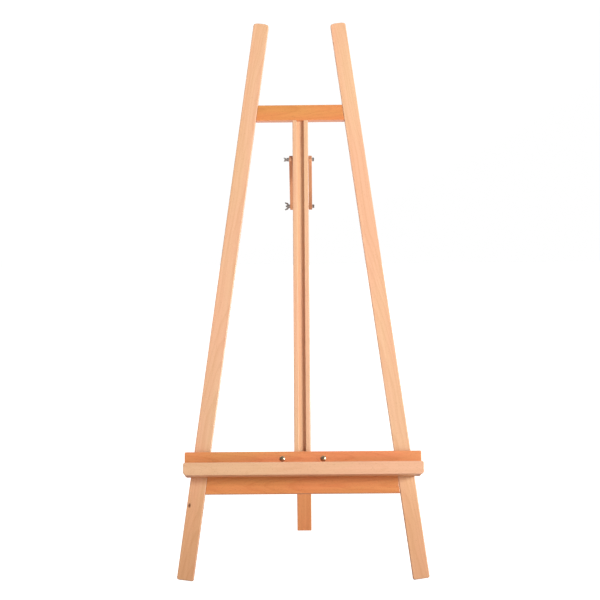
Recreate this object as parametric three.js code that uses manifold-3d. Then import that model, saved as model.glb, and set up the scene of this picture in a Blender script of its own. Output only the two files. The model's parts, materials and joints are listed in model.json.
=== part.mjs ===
// Lyre easel, 1.5 m tall, in millimetres, +Z up, facing -Y.
//
// Two front legs, a top rail, a bottom rail and a grooved mast make one flat frame that leans back.
// Two short arms pivot on a bolt through the mast, and the rear leg pivots between their far ends,
// so that the leg folds flat behind the mast. The tray is clamped to the mast by two carriage bolts
// and a cleat, and slides up it. The origin is on the floor, at the middle of the easel's footprint.
import * as THREE from 'three';
import { mergeVertices } from 'three/addons/utils/BufferGeometryUtils.js';
import Module from 'manifold-3d';

const wasm = await Module();
wasm.setup();

// ---------------------------------------------------------------- driving dimensions

const GAP = 0.3;                       // clearance between pieces that meet
const STOCK = 44;                      // planed width shared by legs, mast and rear leg
const RAIL_HEIGHT = 46;
const LEG_THICK = 21;
const RAIL_THICK = 19;
const ARRIS = 1.8;                     // rounding along the long edges of the boards
const RAIL_ARRIS = 1;

const LEAN = THREE.MathUtils.degToRad(15);   // front frame, back from the vertical
const FRAME_RISE = 1576;               // leg length, measured up the slope of the frame
const FOOT_SPREAD = 313;               // leg centre line to mid plane, at the foot
const HEAD_SPREAD = 110;               // the same, at the top
const LEG_TOP_ROUND = 5;
const LEG_CROWN = 3;                   // how much a leg's top rises from its edges to its middle

const BOTTOM_RAIL_Z = 226;             // lower edge, up the slope
const TOP_RAIL_Z = 1281;

const GROOVE_WIDTH = 20;
const GROOVE_DEPTH = 10;
const GROOVE_ARRIS = 0.8;

const ARM_THICK = 10;
const ARM_WIDTH = 20;
const ARM_CENTRES = 182;               // from bolt to bolt
const ARM_END = 8;                     // bolt to the end of the arm
const ARM_END_ROUND = 7;
const ARM_ARRIS = 1.2;
const ARM_TILT = THREE.MathUtils.degToRad(45);       // from the vertical
const PIVOT_Z = 1169;                  // upper bolt, up the slope
const PIVOT_DEPTH = (GROOVE_DEPTH + LEG_THICK) / 2;  // upper bolt, midway between the groove and the back
const REAR_TILT = THREE.MathUtils.degToRad(14.2);    // rear leg, from the vertical
const FOOT_ROUND = 4;

const TRAY_LENGTH = 635;
const TRAY_Z = 270;                    // underside, up the slope
const TRAY_SHIFT = 1.5;                // the clamped tray stands a little to the right of the mast's middle
const TRAY_BACK_HEIGHT = 67;
const TRAY_BACK_THICK = 18;
const TRAY_BACK_ROUND = 3;             // its two upper corners
const TRAY_SHELF_DEPTH = 30;
const TRAY_SHELF_THICK = 14;
const TRAY_SHELF_ARRIS = 0.5;
const TRAY_SHELF_ROUND = 1;
const TRAY_SHELF_SHORT = 2;            // how much shorter the shelf is than the back and the lip
const TRAY_LIP_LENGTH = 638.5;
const TRAY_LIP_SHIFT = 1.6;            // lip's middle, right of the back's
const TRAY_LIP_HEIGHT = 34;
const TRAY_LIP_THICK = 14;
const TRAY_LIP_ARRIS = 2.4;
const TRAY_LIP_ROUND = 5;
const TRAY_CORNER = 10;
const TRAY_BOLT_X = 55;
const TRAY_BOLT_Z = 47;                // above the tray's underside
const CLEAT_LENGTH = 150;
const CLEAT_HEIGHT = 34;
const CLEAT_THICK = 19;
const CLEAT_ROUND = 3;
const FIXING_PLACES = [-0.42, -0.15, 0.15, 0.42];    // screws, as shares of the tray's length
const PIN_SHIFT = 40;                  // from each screw to the small dowel beside it

const BOLT_RADIUS = 3;                 // M6 throughout
const BOLT_HOLE = 3.5;
const BOLT_LENGTH = 80;
const HEAD_FLATS = 10;
const HEAD_HEIGHT = 4;
const CARRIAGE_LENGTH = 70;
const DOME_RADIUS = 7.8;
const DOME_HEIGHT = 3.4;
const DOME_STEPS = 5;
const NECK = 5.8;
const NECK_LENGTH = 4;
const WASHER_RADIUS = 6;
const WASHER_THICK = 1.6;
const NUT_BASE = 5.6;
const NUT_TIP = 4.4;
const NUT_HEIGHT = 6.5;
const NUT_SPAN = 25;
const NUT_WING_TOP = 13;
const NUT_WING_THICK = 2.2;
const NUT_WING_ROUND = 3;
const ARM_NUT_TURN = THREE.MathUtils.degToRad(115);  // way the upper nut's wings point, and the lower's
const LEG_NUT_TURN = THREE.MathUtils.degToRad(25);

const DOWEL_RADIUS = 4;
const DOWEL_LENGTH = 44;
const DOWEL_SPACING = 24;
const PIN_RADIUS = 3;                  // small dowels between the shelf and the lip
const PIN_LENGTH = 20;
const SCREW_LENGTH = 40;
const SCREW_HEAD = 4;
const SCREW_SHANK = 2;
const SCREW_POINT = 0.4;
const SCREW_POINT_LENGTH = 6;
const SCREW_SINK = 2.6;                // depth of the head's cone

const ROUND_STEPS = 16;
const SCREW_STEPS = 12;

// ---------------------------------------------------------------- materials

function finish(color, roughness, metalness) {
  return new THREE.MeshStandardMaterial({ color, roughness, metalness });
}

const paleWood = finish(0xe8be94, 0.55, 0);
const redWood = finish(0xd69058, 0.55, 0);
const armWood = finish(0xcf9a70, 0.55, 0);
const steel = finish(0xa9aaa8, 0.35, 1);
const brass = finish(0xc9b27c, 0.3, 1);

// ---------------------------------------------------------------- solids and cuts

function toSolid(geometry, matrix) {
  const bare = geometry.clone().applyMatrix4(matrix);
  bare.deleteAttribute('normal');
  bare.deleteAttribute('uv');
  const merged = geometry.userData.welded ? bare : mergeVertices(bare, 1e-4);
  const corners = merged.index.array;
  const kept = [];
  for (let i = 0; i < corners.length; i += 3) {
    const [a, b, c] = [corners[i], corners[i + 1], corners[i + 2]];
    if (a !== b && b !== c && c !== a) {
      kept.push(a, b, c);
    }
  }
  const mesh = new wasm.Mesh({
    numProp: 3,
    vertProperties: new Float32Array(merged.attributes.position.array),
    triVerts: new Uint32Array(kept),
  });
  return new wasm.Manifold(mesh);
}

function fromSolid(solid) {
  const mesh = solid.getMesh();
  const geometry = new THREE.BufferGeometry();
  geometry.setAttribute('position', new THREE.BufferAttribute(mesh.vertProperties, 3));
  geometry.setIndex(new THREE.BufferAttribute(mesh.triVerts, 1));
  geometry.computeVertexNormals();
  geometry.userData.welded = true;
  return geometry;
}

const still = new THREE.Matrix4();

// Cuts tools away from a piece. Both are placed in the same parent.
function carve(piece, ...tools) {
  piece.updateMatrix();
  const toPiece = piece.matrix.clone().invert();
  let solid = toSolid(piece.geometry, still);
  for (const tool of tools) {
    tool.updateMatrix();
    solid = solid.subtract(toSolid(tool.geometry, toPiece.clone().multiply(tool.matrix)));
  }
  piece.geometry = fromSolid(solid);
  return piece;
}

function join(...geometries) {
  let solid = toSolid(geometries[0], still);
  for (const geometry of geometries.slice(1)) {
    solid = solid.add(toSolid(geometry, still));
  }
  return solid;
}

function named(name, geometry, material) {
  const mesh = new THREE.Mesh(geometry, material);
  mesh.name = name;
  return mesh;
}

function at(mesh, x, y, z) {
  mesh.position.set(x, y, z);
  return mesh;
}

// A rod centred on the origin, along 'x', 'y' or 'z'.
function rod(radius, length, axis) {
  const geometry = new THREE.CylinderGeometry(radius, radius, length, ROUND_STEPS);
  if (axis === 'x') {
    geometry.rotateZ(Math.PI / 2);
  }
  if (axis === 'z') {
    geometry.rotateX(Math.PI / 2);
  }
  return geometry;
}

const bore = (radius, length, axis, x, y, z) => at(new THREE.Mesh(rod(radius, length, axis)), x, y, z);

// ---------------------------------------------------------------- boards

// A closed outline through corners of [x, y, radius], rounded where the radius is above 0.
function roundedOutline(corners) {
  const shape = new THREE.Shape();
  const count = corners.length;
  corners.forEach(([x, y, radius], i) => {
    const corner = new THREE.Vector2(x, y);
    if (radius === 0) {
      i === 0 ? shape.moveTo(x, y) : shape.lineTo(x, y);
      return;
    }
    const before = corners[(i + count - 1) % count];
    const after = corners[(i + 1) % count];
    const start = new THREE.Vector2(before[0], before[1]).sub(corner).setLength(radius).add(corner);
    const end = new THREE.Vector2(after[0], after[1]).sub(corner).setLength(radius).add(corner);
    i === 0 ? shape.moveTo(start.x, start.y) : shape.lineTo(start.x, start.y);
    shape.quadraticCurveTo(x, y, end.x, end.y);
  });
  shape.closePath();
  return shape;
}

// A board from its outline. The outline keeps its size, and the edges of both faces are rounded.
function board(outline, thickness, arris) {
  const geometry = new THREE.ExtrudeGeometry(outline, {
    depth: thickness - 2 * arris,
    bevelEnabled: true,
    bevelThickness: arris,
    bevelSize: arris,
    bevelOffset: -arris,
    bevelSegments: 2,
    curveSegments: 4,
  });
  return geometry.translate(0, 0, arris - thickness / 2);
}

// Drawn from the front: the outline's x is across and its y is up, and the thickness runs along Y.
const frontBoard = (outline, thickness, arris) => board(outline, thickness, arris).rotateX(Math.PI / 2);

// Drawn from the side: the outline's x runs back along Y and its y is up, and the width runs along X.
const sideBoard = (outline, width, arris) => frontBoard(outline, width, arris).rotateZ(Math.PI / 2);

// ---------------------------------------------------------------- hardware

function washer() {
  const inner = BOLT_RADIUS + GAP;
  const outer = WASHER_RADIUS;
  const half = WASHER_THICK / 2;
  const ring = [[inner, -half], [outer, -half], [outer, half], [inner, half], [inner, -half]];
  return new THREE.LatheGeometry(ring.map(([r, y]) => new THREE.Vector2(r, y)), ROUND_STEPS);
}

// The bolt's shank runs along -Y from the origin, and its head is above it.
function hexBolt() {
  const corner = HEAD_FLATS / Math.sqrt(3);
  const head = new THREE.CylinderGeometry(corner, corner, HEAD_HEIGHT, 6);
  head.translate(0, HEAD_HEIGHT / 2, 0);
  const shank = rod(BOLT_RADIUS, BOLT_LENGTH + HEAD_HEIGHT / 2, 'y');
  shank.translate(0, HEAD_HEIGHT / 4 - BOLT_LENGTH / 2, 0);
  return fromSolid(join(head, shank));
}

function carriageBolt() {
  const profile = [new THREE.Vector2(0, 0)];
  for (let i = 0; i <= DOME_STEPS; i++) {
    const turn = (Math.PI / 2) * (i / DOME_STEPS);
    profile.push(new THREE.Vector2(DOME_RADIUS * Math.cos(turn), DOME_HEIGHT * Math.sin(turn)));
  }
  profile[profile.length - 1].x = 0;
  const dome = new THREE.LatheGeometry(profile, ROUND_STEPS);
  const neck = new THREE.BoxGeometry(NECK, NECK_LENGTH + 1, NECK).translate(0, (1 - NECK_LENGTH) / 2, 0);
  const shank = rod(BOLT_RADIUS, CARRIAGE_LENGTH + 1, 'y').translate(0, (1 - CARRIAGE_LENGTH) / 2, 0);
  return fromSolid(join(dome, neck, shank));
}

// The nut stands on the origin, and its two wings spread along X as they rise along +Y.
function wingNut() {
  const hub = new THREE.CylinderGeometry(NUT_TIP, NUT_BASE, NUT_HEIGHT, ROUND_STEPS);
  hub.translate(0, NUT_HEIGHT / 2, 0);
  const reach = NUT_SPAN / 2;
  const wing = new THREE.Shape();
  wing.moveTo(NUT_TIP - 1, 1);
  wing.lineTo(NUT_BASE, 1);
  wing.quadraticCurveTo(reach, NUT_HEIGHT * 0.6, reach, NUT_WING_TOP - NUT_WING_ROUND);
  wing.quadraticCurveTo(reach, NUT_WING_TOP, reach - NUT_WING_ROUND, NUT_WING_TOP);
  wing.quadraticCurveTo(NUT_BASE + 1, NUT_WING_TOP, NUT_TIP - 0.2, NUT_HEIGHT - 0.4);
  wing.lineTo(NUT_TIP - 1, NUT_HEIGHT - 0.4);
  wing.closePath();
  const right = new THREE.ExtrudeGeometry(wing, {
    depth: NUT_WING_THICK,
    bevelEnabled: false,
    curveSegments: 5,
  });
  right.translate(0, 0, -NUT_WING_THICK / 2);
  const left = right.clone().rotateY(Math.PI);
  const thread = rod(BOLT_RADIUS + GAP + 0.1, 4 * NUT_HEIGHT, 'y');
  return fromSolid(join(hub, right, left).subtract(toSolid(thread, still)));
}

// The head's flat top is at the origin, and the screw runs along -Y.
function woodScrew(extra) {
  const flare = SCREW_HEAD + extra;
  const shank = SCREW_SHANK + extra;
  const tip = SCREW_LENGTH + extra;
  const profile = [
    [0, -tip],
    [SCREW_POINT, -tip],
    [shank, SCREW_POINT_LENGTH - tip],
    [shank, -SCREW_SINK - extra],
    [flare, -SCREW_POINT],
    [flare, extra],
    [0, extra],
  ];
  return new THREE.LatheGeometry(profile.map(([r, y]) => new THREE.Vector2(r, y)), SCREW_STEPS);
}

// ---------------------------------------------------------------- front frame

const frame = new THREE.Group();
frame.rotation.x = -LEAN;

const SPLAY = Math.atan((FOOT_SPREAD - HEAD_SPREAD) / FRAME_RISE);
const LEG_LENGTH = FRAME_RISE / Math.cos(SPLAY);
const MAST_BOTTOM = BOTTOM_RAIL_Z + RAIL_HEIGHT + GAP;
const MAST_TOP = TOP_RAIL_Z - GAP;
const MID_DEPTH = LEG_THICK / 2;
const MAST_DOWEL_X = (GROOVE_WIDTH + STOCK) / 4;

// Distance from the mid plane to a leg's inner face, at a height up the slope.
function innerFace(z) {
  const centre = FOOT_SPREAD + (HEAD_SPREAD - FOOT_SPREAD) * (z / FRAME_RISE);
  return centre - STOCK / 2 / Math.cos(SPLAY);
}

function leg(side) {
  const half = STOCK / 2;
  const outline = roundedOutline([
    [-half, 0, FOOT_ROUND],
    [half, 0, FOOT_ROUND],
    [half, LEG_LENGTH - LEG_CROWN, LEG_TOP_ROUND],
    [half / 2, LEG_LENGTH, LEG_TOP_ROUND],
    [-half / 2, LEG_LENGTH, LEG_TOP_ROUND],
    [-half, LEG_LENGTH - LEG_CROWN, LEG_TOP_ROUND],
  ]);
  const mesh = named(side < 0 ? 'left_leg' : 'right_leg', frontBoard(outline, LEG_THICK, ARRIS), paleWood);
  mesh.rotation.y = -side * SPLAY;
  return at(mesh, side * FOOT_SPREAD, MID_DEPTH, 0);
}

function rail(name, z) {
  const low = innerFace(z) - GAP;
  const high = innerFace(z + RAIL_HEIGHT) - GAP;
  const outline = roundedOutline([
    [-low, 0, 0],
    [low, 0, 0],
    [high, RAIL_HEIGHT, 0],
    [-high, RAIL_HEIGHT, 0],
  ]);
  return at(named(name, frontBoard(outline, RAIL_THICK, RAIL_ARRIS), redWood), 0, MID_DEPTH, z);
}

function mast() {
  const half = STOCK / 2;
  const slot = GROOVE_WIDTH / 2;
  const outline = roundedOutline([
    [-half, 0, ARRIS],
    [-slot, 0, GROOVE_ARRIS],
    [-slot, GROOVE_DEPTH, 0],
    [slot, GROOVE_DEPTH, 0],
    [slot, 0, GROOVE_ARRIS],
    [half, 0, ARRIS],
    [half, LEG_THICK, ARRIS],
    [-half, LEG_THICK, ARRIS],
  ]);
  const geometry = new THREE.ExtrudeGeometry(outline, {
    depth: MAST_TOP - MAST_BOTTOM,
    bevelEnabled: false,
    curveSegments: 3,
  });
  return at(named('mast', geometry, paleWood), 0, 0, MAST_BOTTOM);
}

const legs = { left: leg(-1), right: leg(1) };
const rails = { bottom: rail('bottom_rail', BOTTOM_RAIL_Z), top: rail('top_rail', TOP_RAIL_Z) };
const post = mast();

for (const [place, railZ] of [['bottom', BOTTOM_RAIL_Z], ['top', TOP_RAIL_Z]]) {
  for (const [side, sign] of [['left', -1], ['right', 1]]) {
    for (const [level, step] of [['lower', -1], ['upper', 1]]) {
      const z = railZ + RAIL_HEIGHT / 2 + (step * DOWEL_SPACING) / 2;
      const x = sign * innerFace(z);
      const hole = bore(DOWEL_RADIUS + GAP, DOWEL_LENGTH + 2, 'x', x, MID_DEPTH, z);
      carve(legs[side], hole);
      carve(rails[place], hole);
      const name = `${place}_rail_dowel_${side}_${level}`;
      frame.add(at(named(name, rod(DOWEL_RADIUS, DOWEL_LENGTH, 'x'), paleWood), x, MID_DEPTH, z));
    }
  }
}

for (const [place, z] of [['bottom', MAST_BOTTOM], ['top', MAST_TOP]]) {
  for (const [side, sign] of [['left', -1], ['right', 1]]) {
    const x = sign * MAST_DOWEL_X;
    const hole = bore(DOWEL_RADIUS + GAP, DOWEL_LENGTH + 2, 'z', x, MID_DEPTH, z);
    carve(post, hole);
    carve(rails[place], hole);
    const name = `mast_dowel_${place}_${side}`;
    frame.add(at(named(name, rod(DOWEL_RADIUS, DOWEL_LENGTH, 'z'), paleWood), x, MID_DEPTH, z));
  }
}

carve(post, bore(BOLT_HOLE, STOCK + 2, 'x', 0, PIVOT_DEPTH, PIVOT_Z));
frame.add(legs.left, legs.right, rails.bottom, rails.top, post);

// ---------------------------------------------------------------- tray

const tray = new THREE.Group();
tray.position.set(TRAY_SHIFT, -GAP, TRAY_Z);
frame.add(tray);

const BACK_Y = -TRAY_BACK_THICK / 2;
const SHELF_Y = -TRAY_BACK_THICK - GAP - TRAY_SHELF_DEPTH / 2;
const LIP_Y = -TRAY_BACK_THICK - 2 * GAP - TRAY_SHELF_DEPTH - TRAY_LIP_THICK / 2;
const CLEAT_FRONT = LEG_THICK + 2 * GAP;
const SCREW_Z = TRAY_SHELF_THICK / 2;

function trayBoard(name, length, height, thickness, arris, topRound, material) {
  const half = length / 2;
  const outline = roundedOutline([
    [-half, 0, TRAY_CORNER],
    [half, 0, TRAY_CORNER],
    [half, height, topRound],
    [-half, height, topRound],
  ]);
  return named(name, frontBoard(outline, thickness, arris), material);
}

const trayBack = trayBoard(
  'tray_back', TRAY_LENGTH, TRAY_BACK_HEIGHT, TRAY_BACK_THICK, ARRIS, TRAY_BACK_ROUND, redWood);
const trayShelf = trayBoard(
  'tray_shelf', TRAY_LENGTH - TRAY_SHELF_SHORT, TRAY_SHELF_THICK, TRAY_SHELF_DEPTH,
  TRAY_SHELF_ARRIS, TRAY_SHELF_ROUND, paleWood);
const trayLip = trayBoard(
  'tray_lip', TRAY_LIP_LENGTH, TRAY_LIP_HEIGHT, TRAY_LIP_THICK, TRAY_LIP_ARRIS, TRAY_LIP_ROUND, paleWood);
at(trayBack, 0, BACK_Y, 0);
at(trayShelf, 0, SHELF_Y, 0);
at(trayLip, TRAY_LIP_SHIFT, LIP_Y, 0);

const cleatHalf = CLEAT_LENGTH / 2;
const cleatOutline = roundedOutline([
  [-cleatHalf, 0, CLEAT_ROUND],
  [cleatHalf, 0, CLEAT_ROUND],
  [cleatHalf, CLEAT_HEIGHT, CLEAT_ROUND],
  [-cleatHalf, CLEAT_HEIGHT, CLEAT_ROUND],
]);
const cleat = named('tray_cleat', frontBoard(cleatOutline, CLEAT_THICK, ARRIS), redWood);
at(cleat, 0, CLEAT_FRONT + CLEAT_THICK / 2, TRAY_BOLT_Z - CLEAT_HEIGHT / 2);

for (const [side, sign] of [['left', -1], ['right', 1]]) {
  const x = sign * TRAY_BOLT_X;
  const boltHole = bore(BOLT_HOLE, 200, 'y', x, 0, TRAY_BOLT_Z);
  const neckSize = NECK + 2 * GAP + 0.1;
  const neckHole = at(new THREE.Mesh(new THREE.BoxGeometry(neckSize, 2 * NECK_LENGTH + 2, neckSize)), x,
    -TRAY_BACK_THICK, TRAY_BOLT_Z);
  carve(trayBack, boltHole, neckHole);
  carve(cleat, boltHole);

  const bolt = named(`carriage_bolt_${side}`, carriageBolt(), brass);
  bolt.rotation.x = Math.PI;
  tray.add(at(bolt, x, -TRAY_BACK_THICK - GAP, TRAY_BOLT_Z));

  const washerY = CLEAT_FRONT + CLEAT_THICK + GAP + WASHER_THICK / 2;
  tray.add(at(named(`tray_washer_${side}`, washer(), steel), x, washerY, TRAY_BOLT_Z));

  const nut = named(`tray_wing_nut_${side}`, wingNut(), steel);
  tray.add(at(nut, x, washerY + WASHER_THICK / 2 + GAP, TRAY_BOLT_Z));
}

FIXING_PLACES.forEach((place, i) => {
  const x = place * TRAY_LENGTH;
  const screwHole = at(new THREE.Mesh(woodScrew(GAP)), x, 0, SCREW_Z);
  carve(trayBack, screwHole);
  carve(trayShelf, screwHole);
  tray.add(at(named(`tray_screw_${i + 1}`, woodScrew(0), steel), x, -GAP, SCREW_Z));

  const pinY = -TRAY_BACK_THICK - 1.5 * GAP - TRAY_SHELF_DEPTH;
  const pinX = x + PIN_SHIFT;
  const pinHole = bore(PIN_RADIUS + GAP, PIN_LENGTH + 1, 'y', pinX, pinY, SCREW_Z);
  carve(trayShelf, pinHole);
  carve(trayLip, pinHole);
  const pin = named(`lip_dowel_${i + 1}`, rod(PIN_RADIUS, PIN_LENGTH, 'y'), paleWood);
  tray.add(at(pin, pinX, pinY, SCREW_Z));
});

tray.add(trayBack, trayShelf, trayLip, cleat);

// ---------------------------------------------------------------- arms and rear leg

const easel = new THREE.Group();
easel.name = 'easel';
easel.add(frame);
easel.updateMatrixWorld(true);
const FLOOR = new THREE.Box3().setFromObject(frame, true).min.z;

const upperPivot = frame.localToWorld(new THREE.Vector3(0, PIVOT_DEPTH, PIVOT_Z));
const armWay = new THREE.Vector3(0, Math.sin(ARM_TILT), -Math.cos(ARM_TILT));
const lowerPivot = upperPivot.clone().addScaledVector(armWay, ARM_CENTRES);
const ARM_FACE = STOCK / 2 + GAP;

// The arms' group has its origin on the upper bolt, and the arms hang down from it along -Z.
const arms = new THREE.Group();
arms.position.copy(upperPivot);
arms.rotation.x = ARM_TILT;
easel.add(arms);

function arm(side) {
  const half = ARM_WIDTH / 2;
  const outline = roundedOutline([
    [-half, -ARM_CENTRES - ARM_END, ARM_END_ROUND],
    [half, -ARM_CENTRES - ARM_END, ARM_END_ROUND],
    [half, ARM_END, ARM_END_ROUND],
    [-half, ARM_END, ARM_END_ROUND],
  ]);
  const name = side < 0 ? 'left_arm' : 'right_arm';
  const mesh = named(name, sideBoard(outline, ARM_THICK, ARM_ARRIS), armWood);
  at(mesh, side * (ARM_FACE + ARM_THICK / 2), 0, 0);
  const holes = [0, -ARM_CENTRES].map((z) => bore(BOLT_HOLE, 4 * STOCK, 'x', 0, 0, z));
  return carve(mesh, ...holes);
}

const WASHER_X = ARM_FACE + ARM_THICK + GAP + WASHER_THICK / 2;
const HEAD_X = WASHER_X + WASHER_THICK / 2 + GAP;
arms.add(arm(-1), arm(1));

for (const [place, z, turn] of [['arm', 0, ARM_NUT_TURN], ['leg', -ARM_CENTRES, LEG_NUT_TURN]]) {
  const bolt = named(`${place}_bolt`, hexBolt(), steel);
  bolt.rotation.z = -Math.PI / 2;
  arms.add(at(bolt, HEAD_X, 0, z));
  for (const [side, sign] of [['left', -1], ['right', 1]]) {
    const ring = named(`${place}_washer_${side}`, washer(), steel);
    ring.rotation.z = Math.PI / 2;
    arms.add(at(ring, sign * WASHER_X, 0, z));
  }
  const nut = named(`${place}_wing_nut`, wingNut(), steel);
  nut.rotation.set(turn, 0, Math.PI / 2);
  arms.add(at(nut, -HEAD_X, 0, z));
}

// The rear leg's top is round about the lower bolt, and the edge of its foot rests on the floor.
function rearLeg() {
  const half = LEG_THICK / 2;
  const drop = lowerPivot.z - FLOOR - half * Math.sin(REAR_TILT);
  const length = drop / Math.cos(REAR_TILT);
  const outline = roundedOutline([
    [-half, -length, 0],
    [half, -length, 0],
    [half, half, half],
    [-half, half, half],
  ]);
  const mesh = named('rear_leg', sideBoard(outline, STOCK, ARRIS), redWood);
  at(mesh, lowerPivot.x, lowerPivot.y, lowerPivot.z);
  mesh.rotation.x = REAR_TILT;
  const hole = bore(BOLT_HOLE, STOCK + 2, 'x', lowerPivot.x, lowerPivot.y, lowerPivot.z);
  return carve(mesh, hole);
}

easel.add(rearLeg());

// ---------------------------------------------------------------- origin

easel.updateMatrixWorld(true);
const box = new THREE.Box3().setFromObject(easel, true);
easel.position.set(0, -(box.min.y + box.max.y) / 2, -FLOOR);
easel.updateMatrixWorld(true);

export default easel;
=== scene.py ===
"""A beech lyre easel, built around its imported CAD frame.

Boards are made in their own frame: X across the width, Y through the thickness, Z along the grain.
Hardware is made along its own Z, with the head or the nut's free side up. Then each piece is placed.
"""

import json
import math

import bmesh
import bpy
from mathutils import Matrix, Vector


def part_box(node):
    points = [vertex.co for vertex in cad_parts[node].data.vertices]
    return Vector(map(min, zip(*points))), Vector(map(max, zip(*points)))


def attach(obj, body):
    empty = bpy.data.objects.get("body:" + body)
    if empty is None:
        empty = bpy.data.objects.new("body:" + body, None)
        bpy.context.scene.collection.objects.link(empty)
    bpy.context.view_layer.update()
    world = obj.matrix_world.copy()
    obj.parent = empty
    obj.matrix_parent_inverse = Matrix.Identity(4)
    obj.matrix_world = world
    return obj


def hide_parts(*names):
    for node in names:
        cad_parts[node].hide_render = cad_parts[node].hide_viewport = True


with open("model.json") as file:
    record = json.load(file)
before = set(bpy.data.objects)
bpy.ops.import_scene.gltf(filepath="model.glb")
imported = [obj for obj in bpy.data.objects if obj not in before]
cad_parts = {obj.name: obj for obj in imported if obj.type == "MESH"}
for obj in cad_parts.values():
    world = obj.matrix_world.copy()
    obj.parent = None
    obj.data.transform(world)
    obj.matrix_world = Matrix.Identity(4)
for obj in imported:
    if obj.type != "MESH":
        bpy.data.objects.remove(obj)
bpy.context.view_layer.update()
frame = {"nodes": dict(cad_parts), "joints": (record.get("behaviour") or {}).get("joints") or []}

MM = 0.001

# ---------------------------------------------------------------- driving dimensions

GAP = 0.3 * MM
STOCK = 44 * MM
RAIL_HEIGHT = 46 * MM
LEG_THICK = 21 * MM
RAIL_THICK = 19 * MM
ARRIS = 1.8 * MM
RAIL_ARRIS = 1.3 * MM
LEG_CROWN = 3 * MM
LEG_CROWN_ROUND = 34 * MM
LEG_EDGE_ROUND = 7 * MM
LEG_FOOT_ROUND = 5 * MM

FRAME_RISE = 1576 * MM
FOOT_SPREAD = 313 * MM
HEAD_SPREAD = 110 * MM
BOTTOM_RAIL_Z = 226 * MM
TOP_RAIL_Z = 1281 * MM
GROOVE_WIDTH = 20 * MM
GROOVE_DEPTH = 10 * MM
PIVOT_Z = 1169 * MM
PIVOT_DEPTH = (GROOVE_DEPTH + LEG_THICK) / 2

ARM_THICK = 10 * MM
ARM_WIDTH = 20 * MM
ARM_END = 8 * MM
ARM_CORNER = 5 * MM
ARM_ARRIS = 1.2 * MM
REAR_TILT = math.radians(14.2)

TRAY_LENGTH = 635 * MM
TRAY_Z = 270 * MM
TRAY_SHIFT = 1.5 * MM
TRAY_BACK_HEIGHT = 67 * MM
TRAY_BACK_THICK = 18 * MM
SHELF_DEPTH = 30 * MM
SHELF_THICK = 14 * MM
LIP_LENGTH = 638.5 * MM
LIP_SHIFT = 1.6 * MM
LIP_HEIGHT = 34 * MM
LIP_THICK = 14 * MM
TRAY_BOLT_X = 55 * MM
TRAY_BOLT_Z = 47 * MM
CLEAT_LENGTH = 150 * MM
CLEAT_HEIGHT = 34 * MM
CLEAT_THICK = 19 * MM
FIXING_PLACES = (-0.42, -0.15, 0.15, 0.42)

BOLT_RADIUS = 3 * MM
BOLT_HOLE = 3.5 * MM
BOLT_LENGTH = 80 * MM
CARRIAGE_LENGTH = 70 * MM
HEAD_HEIGHT = 4 * MM
WASHER_THICK = 1.6 * MM
THREAD_PITCH = 1 * MM
THREAD_DEPTH = 0.55 * MM
THREAD_LENGTH = 24 * MM

# ---------------------------------------------------------------- placements

JOINTS = {joint["name"]: joint for joint in frame["joints"]}
ACROSS = Vector((1, 0, 0))
UP = Vector(JOINTS["tray_slide"]["axis"]).normalized()
BACK = UP.cross(ACROSS)
UPPER_PIVOT = Vector(JOINTS["arm_pivot"]["pos_m"])
LOWER_PIVOT = Vector(JOINTS["rear_leg_pivot"]["pos_m"])
MID_DEPTH = LEG_THICK / 2


def axes(origin, x, y, z):
    """A placement at origin, whose own axes point along x, y and z."""
    turned = Matrix((x, y, z)).transposed().to_4x4()
    return Matrix.Translation(origin) @ turned


def along(origin, z, x):
    """A placement with its Z along z and its X as near to x as it can be."""
    z = Vector(z).normalized()
    y = z.cross(Vector(x)).normalized()
    return axes(Vector(origin), y.cross(z), y, z)


def shift(x, y, z):
    return Matrix.Translation((x, y, z))


FRONT = axes(UPPER_PIVOT - UP * PIVOT_Z - BACK * PIVOT_DEPTH, ACROSS, BACK, UP)
TRAY = FRONT @ shift(TRAY_SHIFT, -GAP, TRAY_Z)
ARMS = along(UPPER_PIVOT, UPPER_PIVOT - LOWER_PIVOT, ACROSS)
REAR = Matrix.Translation(LOWER_PIVOT) @ Matrix.Rotation(REAR_TILT, 4, "X")
LYING = axes((0, 0, 0), (0, 0, 1), (0, -1, 0), (1, 0, 0))
ARM_CENTRES = (UPPER_PIVOT - LOWER_PIVOT).length

# ---------------------------------------------------------------- shader graphs


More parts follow.
